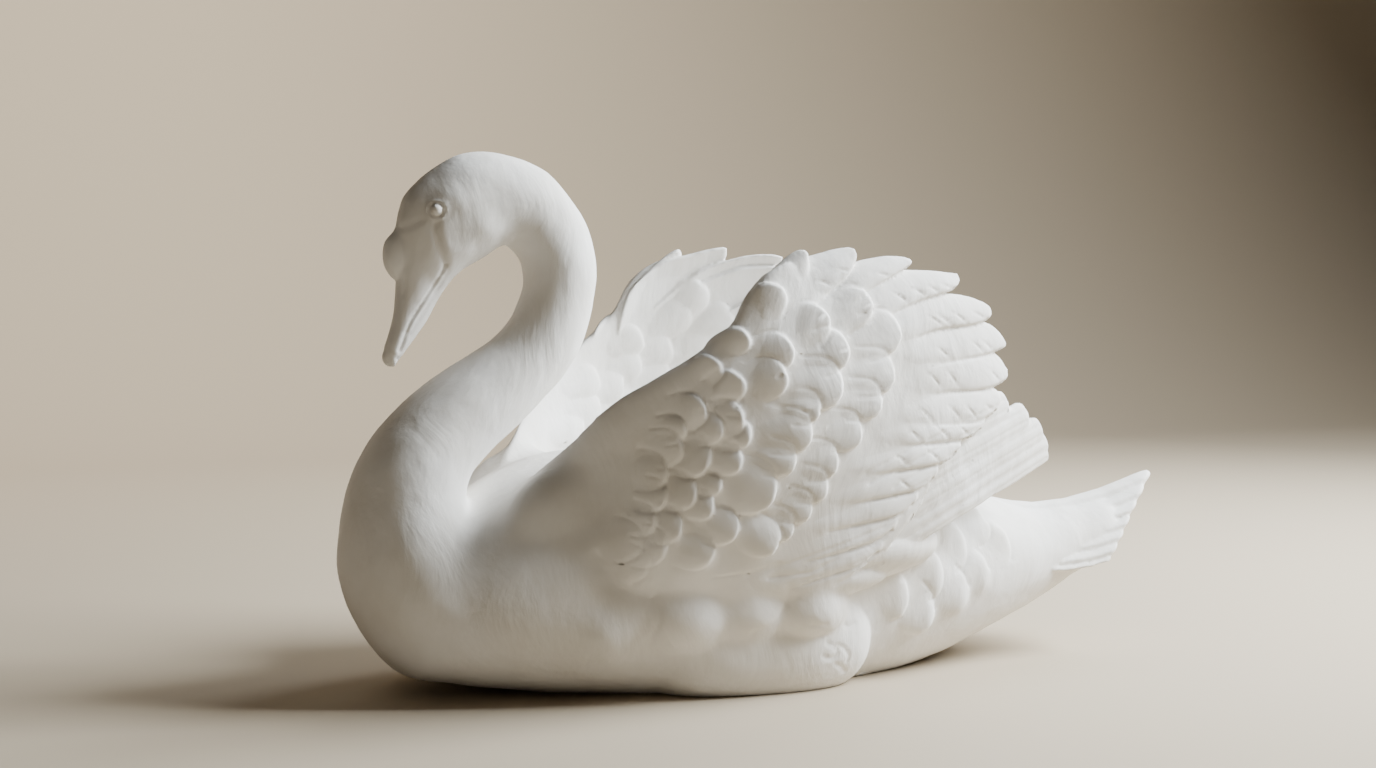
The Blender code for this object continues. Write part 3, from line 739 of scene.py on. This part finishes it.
def vertex_table(obj, what="co"):
    """The mesh's points, or its normals, as rows of x, y and z."""
    source = obj.data.vertices if what == "co" else obj.data.vertex_normals
    table = np.empty(len(obj.data.vertices) * 3)
    source.foreach_get("co" if what == "co" else "vector", table)
    return table.reshape(-1, 3)


def one_side(points):
    """Points in drawing units, as if all were on one side of the bird."""
    folded_over = points / UNIT
    folded_over[:, 1] = np.abs(folded_over[:, 1])
    return folded_over


places = one_side(vertex_table(swan))
weight = np.zeros(len(places))
for centre, reach, share in EASED:
    away = np.linalg.norm(places - centre, axis=1) / reach
    weight = np.maximum(weight, share * np.clip(EASE_FADE * (1 - away), 0, 1))
near = swan.vertex_groups.new(name="eased")
for step in range(1, EASE_STEPS + 1):
    chosen = np.nonzero((weight > (step - 0.5) / EASE_STEPS) & (weight <= (step + 0.5) / EASE_STEPS))[0]
    near.add(chosen.tolist(), step / EASE_STEPS, "REPLACE")
ease = swan.modifiers.new("joints eased", "SMOOTH")
ease.factor = 0.6
ease.iterations = round(EASE_DEPTH / SKIN_CELL) ** 2
ease.vertex_group = "eased"
applied(swan)
print("eased", int((weight > 0.5 / EASE_STEPS).sum()), "points")

# %% [markdown]
# ## Swellings
# A few swellings are too soft to press on as clay: the cheek, the brow and a fullness in front of the
# thigh. The skin is pushed out along its own normals, most at the middle of each and less and less round
# it.

# %% Soft swellings
# Each swelling is its middle, its reach and its rise.
SWELLINGS = (
    ((-226, 150, 64), 34, 3),
    ((-300, 35, 441), 20, 2.5),
    ((-322, 33, 420), 14, 1.5),
    ((-336, 34, 470), 22, 3),
)


def push(obj, height):
    """Moves each point of the skin along its own normal by its height in drawing units."""
    points = vertex_table(obj) + vertex_table(obj, "normal") * (height * UNIT)[:, None]
    obj.data.vertices.foreach_set("co", points.ravel())
    obj.data.update()


places = one_side(vertex_table(swan))
height = np.zeros(len(places))
for centre, reach, rise in SWELLINGS:
    away = np.linalg.norm(places - centre, axis=1) / reach
    height += rise * np.exp(-2 * away**2)
push(swan, height)
print("raised by up to", round(float(height.max()), 1), "units")

# %% [markdown]
# ## Fine cuts on the head
# A plaster swan is finished with a steel tool: a line between the two halves of the bill, a fold from the
# eye to the corner of the mouth, and a ring round the eye. The skin is still dense, so these are made by
# pushing its points in along their normals. Each cut is a line of a few places (x, z) seen from the side,
# with half its width and its depth. A rise is a cut turned outwards.

# %% Cutting tool
def away_from(line, places):
    """How far the places are from a line of (x, z) points, seen from the side."""
    nearest = np.full(len(places), np.inf)
    spots = places[:, [0, 2]]
    for start, stop in zip(np.array(line, float)[:-1], np.array(line, float)[1:]):
        step = stop - start
        share = np.clip((spots - start) @ step / (step @ step), 0, 1)
        nearest = np.minimum(nearest, np.linalg.norm(spots - start - share[:, None] * step, axis=1))
    return nearest


def cut_line(height, chosen, places, line, half_width, depth):
    """Lowers the chosen points near the line, most on the line itself."""
    near = away_from(line, places[chosen]) / half_width
    height[chosen] -= depth * np.exp(-(near**2))


# %% Cuts on the head
HEAD_CUTS = (
    (((-339, 407), (-341, 400), (-349, 386), (-358, 372), (-369, 355), (-376, 339), (-380, 326)), 1.8, 1.8),
    (((-335, 402), (-342, 388), (-350, 374), (-360, 358), (-371, 341)), 1.6, 0.7),
    (((-349, 447), (-350, 441), (-346, 427), (-341, 416), (-338, 407)), 2.6, 2.0),
    (((-362, 449), (-371, 444), (-379, 442)), 3.5, 0.9),
    (((-376, 396), (-375, 386), (-377, 378)), 2.2, 1.3),
    (((-394, 333), (-388, 323), (-380, 317)), 1.6, 0.8),
    (((-374, 432), (-370, 421), (-371, 409), (-378, 402)), 3.5, 0.9),
)
HEAD_RISES = (
    (((-342, 396), (-352, 379), (-362, 363), (-372, 347)), 1.6, 0.9),
    (((-341, 444), (-340, 432), (-335, 420)), 6.0, 1.1),
)
# Each ring round the eye is its radius, half its width and its rise.
EYE_RINGS = ((6.4, 1.2, -1.2), (8.7, 1.5, 1.1))
HEAD_BEFORE = -300
HEAD_OVER = 300
HEAD_APART = 5

places = one_side(vertex_table(swan))
height = np.zeros(len(places))
apart = places[:, 1] > HEAD_APART
head = np.nonzero(apart & (places[:, 0] < HEAD_BEFORE) & (places[:, 2] > HEAD_OVER))[0]
for line, half_width, depth in HEAD_CUTS:
    cut_line(height, head, places, line, half_width, depth)
for line, half_width, rise in HEAD_RISES:
    cut_line(height, head, places, line, half_width, -rise)
from_eye = np.hypot(places[head, 0] - EYE[0][0], places[head, 2] - EYE[0][2])
for radius, half_width, rise in EYE_RINGS:
    height[head] += rise * np.exp(-(((from_eye - radius) / half_width) ** 2))
print("cut on the head:", int((height < -0.2).sum()), "points")

# %% [markdown]
# ## Grooves, nicks and folds
# The same tool drew the feathers' edges: a fine groove along each long feather and round each covert, short
# nicks where the vanes of the long feathers split, lines along the lowest feathers, an edge round each pad
# of the rump, and soft folds on the thigh. A groove follows its feather's own outline. It mustn't run over
# the feather that lies on top, so each kind of cut lowers only some points of the skin: those of the outer
# face, at a certain height over the wing's sheet.

# %% Points of the wing
OUTER_FACE = 0.3
WING_FOOT = 95
NEAR_SHEET = 8
COVERED_FROM = -4
FAN_FROM = -1.2

normals = vertex_table(swan, "normal")
facing_out = normals[:, 1] * np.sign(vertex_table(swan)[:, 1]) > OUTER_FACE
above = (places[:, 1] - wing_out(places[:, 0], places[:, 2])) * np.abs(normals[:, 1])
over_foot = facing_out & (places[:, 2] > WING_FOOT)
wing = np.nonzero(over_foot & (np.abs(above) < NEAR_SHEET))[0]
covered = np.nonzero(over_foot & (above > COVERED_FROM))[0]
over_flight = wing[above[wing] > FAN_FROM]
print("near the wings' sheets:", len(wing), "points")

# %% Grooves round the feathers
# Each long feather's groove is cut again from these places on, so it grows deeper towards the tip.
EDGE_FROM = (0, 1, 2, 4)
EDGE_DEPTH = ((7, 9), (0.45, 0.75))
EDGE_HALF_WIDTH = 1.6
COVERT_EDGE = (1.7, 0.75)
COVERT_MARGIN = 0.5

for number, shape in enumerate(FAN[1:], 1):
    depth = float(np.interp(number, *EDGE_DEPTH))
    x, z, _ = vane(shape, np.linspace(0.45, 0.95, 9), 1.0)
    line = np.stack([x, z], axis=1)
    for begin in EDGE_FROM:
        cut_line(height, over_flight, places, line[begin:], EDGE_HALF_WIDTH, depth)
for row, tips in COVERTS.items():
    top = COVERT_LIFT[row][1]
    middle = top - COVERT_FORM[row]["thick"] / 2
    for tip in tips:
        u = np.linspace(0.55, 0.99, 9)
        x, z, _ = vane(drawn(*tip), np.append(u, u[::-1]), np.repeat((-1.0, 1.0), 9))
        line = on_wing(x, z, middle, 1)[:, [0, 2]]
        close = np.hypot(places[covered, 0] - tip[0], places[covered, 2] - tip[1]) < tip[3]
        chosen = covered[close & (above[covered] < top + COVERT_MARGIN)]
        cut_line(height, chosen, places, line, *COVERT_EDGE)
print("grooves along", 2 * len(FAN[1:]), "long feathers and round every outer covert")

# %% Nicks and shafts
# A nick is as far from its feather's tip as its number says. A kind of cut is half its width and its depth.
NICKS = {
    1: (14, 38),
    2: (30, 62),
    3: (12, 30, 47, 70),
    4: (11, 37, 57, 67),
    5: (20, 33, 78),
    6: (13, 69, 91),
    7: (10, 35, 56, 92),
    8: (24, 50, 84),
    9: (30, 66),
    10: (36,),
}
NICK_REACH = 16.0
NICK = (1.3, 0.45)
NICK_MIDDLE = (1.3, 0.6)
SHAFTS = (-0.35, 0.4)
SHAFT = (1.4, 0.8)
LOW_VANES = (
    ((-125, 120), (-93, 123), (-61, 132)),
    ((-93, 120), (-52, 131), (2, 147), (46, 161)),
    ((-72, 117), (-30, 121), (14, 140), (47, 152)),
    ((-38, 113), (-7, 119), (48, 137)),
    ((-1, 107), (24, 116), (50, 124)),
)
LOW_VANE = (1.6, 0.9)

for number, backs in NICKS.items():
    shape = FAN[number]
    for back in backs:
        stop = 1 - back / shape["long"]
        start = stop - NICK_REACH / shape["long"]
        share = np.linspace(0, 1, 4)
        x, z, _ = vane(shape, start + (stop - start) * share, 0.1 + 0.75 * share**1.3)
        line = np.stack([x, z], axis=1)
        cut_line(height, wing, places, line, *NICK)
        cut_line(height, wing, places, line[1:3], *NICK_MIDDLE)
for shape in FLIGHT:
    for across in SHAFTS:
        x, z, _ = vane(shape, np.linspace(0.3, 0.96, 7), across)
        cut_line(height, wing, places, np.stack([x, z], axis=1), *SHAFT)
for line in LOW_VANES:
    cut_line(height, wing, places, line, *LOW_VANE)
print("nicks:", 2 * sum(len(backs) for backs in NICKS.values()))

# %% Folds of the rump, the thigh and the flank
PAD_EDGE = (2.2, 0.9)
PAD_EDGE_TURN = 75
RUMP_UNDER = -12
RUMP_BEHIND = 50
THIGH_FOLDS = (
    ((-1, 48), (6, 45), (11, 39), (10, 34)),
    ((12, 45), (20, 40), (25, 33), (24, 28)),
    ((20, 63), (25, 61), (33, 63)),
    ((-23, 69), (-15, 68), (-8, 69)),
    ((-4, 35), (2, 32), (6, 33)),
    ((10, 26), (18, 22), (23, 17)),
)
THIGH_FOLD = (2.4, 1.0)
LUMP_EDGES = (
    ((-177, 101), (-173, 92), (-172, 82), (-174, 72), (-177, 63)),
    ((-50, 108), (-47, 99), (-49, 88), (-56, 77), (-67, 68), (-82, 63)),
)
LUMP_EDGE = (3.4, 1.2)
THIGH_OUT = 100
THIGH_TOP = 115
CREASE = (
    (-222, 138),
    (-219, 130),
    (-208, 113),
    (-189, 105),
    (-162, 104),
    (-134, 108),
    (-98, 117),
    (-63, 121),
)
CREASE_WHOLE = (9.0, 1.6)
CREASE_FRONT = (8.0, 1.4)
FLANK_Z = (80, 165)
FLANK_BEFORE = -30

rump = np.nonzero(facing_out & (above < RUMP_UNDER) & (places[:, 0] > RUMP_BEHIND))[0]
turn = np.radians(np.linspace(-PAD_EDGE_TURN, PAD_EDGE_TURN, 9))
for x, z, along, up in RUMP_PADS:
    reach = PAD_BEHIND * along * np.cos(turn)
    line = np.stack([x + reach, z - PAD_DROOP * reach + up * np.sin(turn)], axis=1)
    cut_line(height, rump, places, line, *PAD_EDGE)
thigh = np.nonzero(facing_out & (places[:, 1] > THIGH_OUT) & (places[:, 2] < THIGH_TOP))[0]
for line in THIGH_FOLDS:
    cut_line(height, thigh, places, line, *THIGH_FOLD)
for line in LUMP_EDGES:
    cut_line(height, thigh, places, line, *LUMP_EDGE)
beside = (places[:, 2] > FLANK_Z[0]) & (places[:, 2] < FLANK_Z[1])
flank = np.nonzero(facing_out & beside & (places[:, 0] < FLANK_BEFORE))[0]
cut_line(height, flank, places, CREASE, *CREASE_WHOLE)
cut_line(height, flank, places, CREASE[:4], *CREASE_FRONT)
push(swan, height)
print("the deepest cut is", round(float(-height.min()), 1), "units")

# %% [markdown]
# ## Fewer faces
# The skin is now far denser than it needs to be on its smooth parts. Decimate in collapse mode removes
# points where they matter least, so the flat places get large faces and the rims keep small ones. The
# figure is then cut flat where it stands. Fusing leaves a few closed bubbles inside the clay, so only the
# skin that is joined to the highest point is kept. Where the skin still folds over on itself, a few passes
# of smoothing lay it flat.

# %% Thin out and cut the base
SKIN_TRIANGLES = 196000
FOLD_PASSES = 6
FOLD_ABOVE = 8.0
FOLD_DOT = 0.1

swan.data.calc_loop_triangles()
fewer = swan.modifiers.new("fewer faces", "DECIMATE")
fewer.ratio = SKIN_TRIANGLES / len(swan.data.loop_triangles)
applied(swan)

base = bmesh.new()
base.from_mesh(swan.data)
cut = bmesh.ops.bisect_plane(
    base,
    geom=base.verts[:] + base.edges[:] + base.faces[:],
    dist=UNIT * 0.01,
    plane_co=(0, 0, 0),
    plane_no=(0, 0, -1),
    clear_outer=True,
)
rim = [item for item in cut["geom_cut"] if isinstance(item, bmesh.types.BMEdge)]
bmesh.ops.triangle_fill(base, edges=rim, use_beauty=True)
bmesh.ops.triangulate(base, faces=base.faces)
bmesh.ops.recalc_face_normals(base, faces=base.faces)

outer = {max(base.verts, key=lambda vert: vert.co.z)}
ring = set(outer)
while ring:
    ring = {edge.other_vert(vert) for vert in ring for edge in vert.link_edges} - outer
    outer |= ring
bubbles = [vert for vert in base.verts if vert not in outer]
bmesh.ops.delete(base, geom=bubbles, context="VERTS")


def folded_points(bm):
    """The points that are turned well away from one of their own faces."""
    high = [vert for vert in bm.verts if vert.co.z > FOLD_ABOVE * UNIT]
    return {vert for vert in high if min(vert.normal.dot(face.normal) for face in vert.link_faces) < FOLD_DOT}


most = 0
for _ in range(FOLD_PASSES):
    base.normal_update()
    folded = folded_points(base)
    most = max(most, len(folded))
    folded |= {edge.other_vert(vert) for vert in folded for edge in vert.link_edges}
    easing = [vert for vert in base.verts if vert in folded]
    bmesh.ops.smooth_vert(base, verts=easing, factor=0.5, use_axis_x=True, use_axis_y=True, use_axis_z=True)
base.to_mesh(swan.data)
base.free()
print("the skin keeps", len(swan.data.polygons), "faces")
print("taken off:", len(bubbles), "points in bubbles; smoothed:", most, "points in folds")

# %% [markdown]
# ## The touch of the hand
# Hand-smoothed plaster is never as even as a machined part. Two Displace modifiers with a cloud texture
# raise and lower the skin: one in broad soft waves of up to a millimetre, one in small dabs of a third of
# that. Both are part of the mesh, so they also show on the outline.

# %% Hand-made unevenness
# Each kind of wave is its size in metres and its whole height in units.
WAVES = ((0.048, 2.2), (0.015, 0.7))

for number, (size, depth) in enumerate(WAVES):
    cloud = bpy.data.textures.new(f"waves {number}", "CLOUDS")
    cloud.noise_scale = size
    cloud.noise_depth = 1
    wave = swan.modifiers.new(f"waves {number}", "DISPLACE")
    wave.texture = cloud
    wave.texture_coords = "LOCAL"
    wave.mid_level = 0.5
    wave.strength = depth * UNIT
applied(swan)
print("waves of", [round(depth / 2, 2) for size, depth in WAVES], "units each way")

# %% [markdown]
# ## Into the frame
# The skin is moved and stretched by less than a hundredth, until its box is exactly the frame's box. It
# then takes the place of the plain solid.

# %% Fit to the frame
points = vertex_table(swan)
lowest = points.min(axis=0)
share = (np.array(HIGH) - np.array(LOW)) / (points.max(axis=0) - lowest)
swan.data.vertices.foreach_set("co", (np.array(LOW) + (points - lowest) * share).ravel())
swan.data.update()
swan.data.shade_smooth()
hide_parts("swan")
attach(swan, "root")
print("stretched by", np.round(share, 4))

# %% [markdown]
# ## Plaster
# Dry plaster is white, quite matte and faintly warm. It isn't one flat colour: brushing and handling leave
# soft cloudy tones. Its surface has a fine grain, and long shallow marks where it was brushed smooth.

# %% Plaster material
# Each lay of the brush is a turn in degrees and a stretch, along X, Y and Z.
BRUSHING = (((0, 30, 0), (1.4, 1.4, 0.5)), ((0, -55, 20), (1.3, 1.3, 0.45)))
DULL_TONE = (0.74, 0.71, 0.66, 1)
CLEAN_TONE = (0.87, 0.855, 0.83, 1)
STROKE_WANDER = (0.09, 0.09, 0.09)


def noise(nodes, links, over, scale, detail):
    """A cloud texture over a node's vector."""
    made = nodes.new("ShaderNodeTexNoise")
    made.inputs["Scale"].default_value = scale
    made.inputs["Detail"].default_value = detail
    links.new(over, made.inputs["Vector"])
    return made


def relief(nodes, links, height, strength, distance, under=None):
    """A bump from a cloud texture, laid over another bump."""
    made = nodes.new("ShaderNodeBump")
    made.inputs["Strength"].default_value = strength
    made.inputs["Distance"].default_value = distance
    links.new(height.outputs["Fac"], made.inputs["Height"])
    if under:
        links.new(under.outputs["Normal"], made.inputs["Normal"])
    return made


def plaster():
    """Matte white plaster, with cloudy tones, wandering brush marks and a fine grain."""
    material = bpy.data.materials.new("hand-smoothed white plaster")
    material.use_nodes = True
    nodes = material.node_tree.nodes
    links = material.node_tree.links
    shader = nodes["Principled BSDF"]
    shader.inputs["Roughness"].default_value = 0.78
    shader.inputs["Specular IOR Level"].default_value = 0.3
    where = nodes.new("ShaderNodeTexCoord").outputs["Object"]

    clouds = noise(nodes, links, where, 11, 5)
    tone = nodes.new("ShaderNodeValToRGB")
    for element, position, colour in zip(tone.color_ramp.elements, (0.3, 0.7), (DULL_TONE, CLEAN_TONE)):
        element.position = position
        element.color = colour
    links.new(clouds.outputs["Fac"], tone.inputs["Fac"])
    links.new(tone.outputs["Color"], shader.inputs["Base Color"])

    bend = noise(nodes, links, where, 9, 1)
    shift = nodes.new("ShaderNodeVectorMath")
    shift.operation = "MULTIPLY_ADD"
    shift.inputs[1].default_value = STROKE_WANDER
    links.new(bend.outputs["Color"], shift.inputs[0])
    links.new(where, shift.inputs[2])
    brushed = None
    for turn, stretch in BRUSHING:
        lay = nodes.new("ShaderNodeMapping")
        lay.inputs["Rotation"].default_value = [math.radians(angle) for angle in turn]
        lay.inputs["Scale"].default_value = stretch
        links.new(shift.outputs["Vector"], lay.inputs["Vector"])
        strokes = noise(nodes, links, lay.outputs["Vector"], 42, 3)
        brushed = relief(nodes, links, strokes, 0.8, 0.0011, brushed)

    grain = noise(nodes, links, where, 900, 2)
    fine = relief(nodes, links, grain, 0.25, 0.0002, brushed)
    links.new(fine.outputs["Normal"], shader.inputs["Normal"])
    return material


swan.data.materials.clear()
swan.data.materials.append(plaster())
print("material:", swan.data.materials[0].name)

# %% [markdown]
# ## Floor and backdrop
# One pale sheet is the floor, and it curves up behind the swan into the backdrop, as paper does in a
# studio. An edge is swept from the front along a short profile, so there is no corner to see.

# %% Studio sweep
SWEEP_WIDTH = 24.0
SWEEP_FRONT = -12.0
SWEEP_BACK = 2.2
SWEEP_RADIUS = 1.2
SWEEP_HEIGHT = 5.0
SWEEP_STEPS = 16
SWEEP_COLOUR = (0.41, 0.34, 0.25, 1)


def sweep_material():
    """A matte warm grey, darker than the plaster."""
    material = bpy.data.materials.new("pale studio floor")
    material.use_nodes = True
    shader = material.node_tree.nodes["Principled BSDF"]
    shader.inputs["Base Color"].default_value = SWEEP_COLOUR
    shader.inputs["Roughness"].default_value = 0.9
    return material


def crosses(edge):
    """Says whether a free edge runs across the sweep, from its left side to its right side."""
    left, right = edge.verts
    return edge.is_boundary and left.co.x != right.co.x


def pull(bm, edges, move):
    """Draws the edges out by the move, and gives the ones that the next pull starts from."""
    made = bmesh.ops.extrude_edge_only(bm, edges=edges)["geom"]
    moved = [item for item in made if isinstance(item, bmesh.types.BMVert)]
    bmesh.ops.translate(bm, verts=moved, vec=move)
    return [item for item in made if isinstance(item, bmesh.types.BMEdge) and crosses(item)]


paper = bmesh.new()
ends = [paper.verts.new((x, SWEEP_FRONT, 0)) for x in (-SWEEP_WIDTH / 2, SWEEP_WIDTH / 2)]
edge = pull(paper, [paper.edges.new(ends)], (0, SWEEP_BACK - SWEEP_FRONT, 0))
for number in range(SWEEP_STEPS):
    start = math.pi / 2 * number / SWEEP_STEPS
    stop = math.pi / 2 * (number + 1) / SWEEP_STEPS
    forward = SWEEP_RADIUS * (math.sin(stop) - math.sin(start))
    rise = SWEEP_RADIUS * (math.cos(start) - math.cos(stop))
    edge = pull(paper, edge, (0, forward, rise))
pull(paper, edge, (0, 0, SWEEP_HEIGHT))
bmesh.ops.recalc_face_normals(paper, faces=paper.faces)
floor = bpy.data.objects.new("studio_sweep", bpy.data.meshes.new("studio_sweep"))
paper.to_mesh(floor.data)
paper.free()
floor.data.shade_smooth()
floor.data.materials.append(sweep_material())
bpy.context.scene.collection.objects.link(floor)
print("the sweep has", len(floor.data.polygons), "faces")

# %% [markdown]
# ## Light
# The swan stands by a tall window. The window is a large area light above the bird, to its right in the
# picture and a little in front, so each feather's round tip is bright and the side that faces the camera
# falls into soft warm shade. A weak second window behind the bird lights the far edges, a wash lights the
# backdrop on the left, and a faint sky and a warm world fill the shade.

# %% Lights
def area_light(name, place, aim, size, power, colour):
    """A rectangular light at a place, turned towards its aim."""
    lamp = bpy.data.lights.new(name, "AREA")
    lamp.shape = "RECTANGLE"
    lamp.size, lamp.size_y = size
    lamp.energy = power
    lamp.color = colour
    obj = bpy.data.objects.new(name, lamp)
    bpy.context.scene.collection.objects.link(obj)
    obj.location = place
    obj.rotation_euler = (Vector(aim) - Vector(place)).to_track_quat("-Z", "Y").to_euler()


DAYLIGHT = (0.90, 0.96, 1.0)
WARM_ROOM = (1.0, 0.88, 0.74, 1)

area_light("window", (1.8, -0.45, 1.6), (0.1, 0, 0.25), (1.2, 1.2), 270, DAYLIGHT)
area_light("window behind", (1.5, 1.1, 1.4), (-0.1, 0, 0.3), (1.0, 1.0), 35, DAYLIGHT)
area_light("wall wash", (-0.6, 1.9, 2.4), (-1.4, 3.4, 0.9), (2.4, 0.8), 80, (1.0, 0.95, 0.88))
area_light("soft sky", (-0.6, 0.6, 3.0), (0, 0, 0.2), (2.6, 2.6), 1.5, (1.0, 0.97, 0.93))
world = bpy.data.worlds.new("soft room")
world.use_nodes = True
world.node_tree.nodes["Background"].inputs["Color"].default_value = WARM_ROOM
world.node_tree.nodes["Background"].inputs["Strength"].default_value = 0.062
bpy.context.scene.world = world

# %% [markdown]
# ## Camera
# The camera stands at the height of the swan's head, a little to the left of its middle, and looks slightly
# down. Its place is in drawing units too, so it keeps its view of the figure at any size.

# %% Camera
CAMERA_PLACE = (-802.5, -1970.1, 424.0)
CAMERA_TURN = 20.0
CAMERA_DOWN = 3.73
LENS = 55.0

camera = bpy.data.objects.new("camera", bpy.data.cameras.new("camera"))
bpy.context.scene.collection.objects.link(camera)
camera.data.lens = LENS
camera.location = (Vector(CAMERA_PLACE) - Vector((DRAWN_MIDDLE, 0, 0))) * UNIT
turn = math.radians(CAMERA_TURN)
down = math.radians(CAMERA_DOWN)
ahead = Vector((math.sin(turn) * math.cos(down), math.cos(turn) * math.cos(down), -math.sin(down)))
camera.rotation_euler = ahead.to_track_quat("-Z", "Y").to_euler()
bpy.context.scene.camera = camera
print("camera at", [round(value, 3) for value in camera.location])

# %% [markdown]
# ## Finish
# The last cell updates the view layer, so that every object stands where the cells above put it.

# %% Finish
bpy.context.view_layer.update()
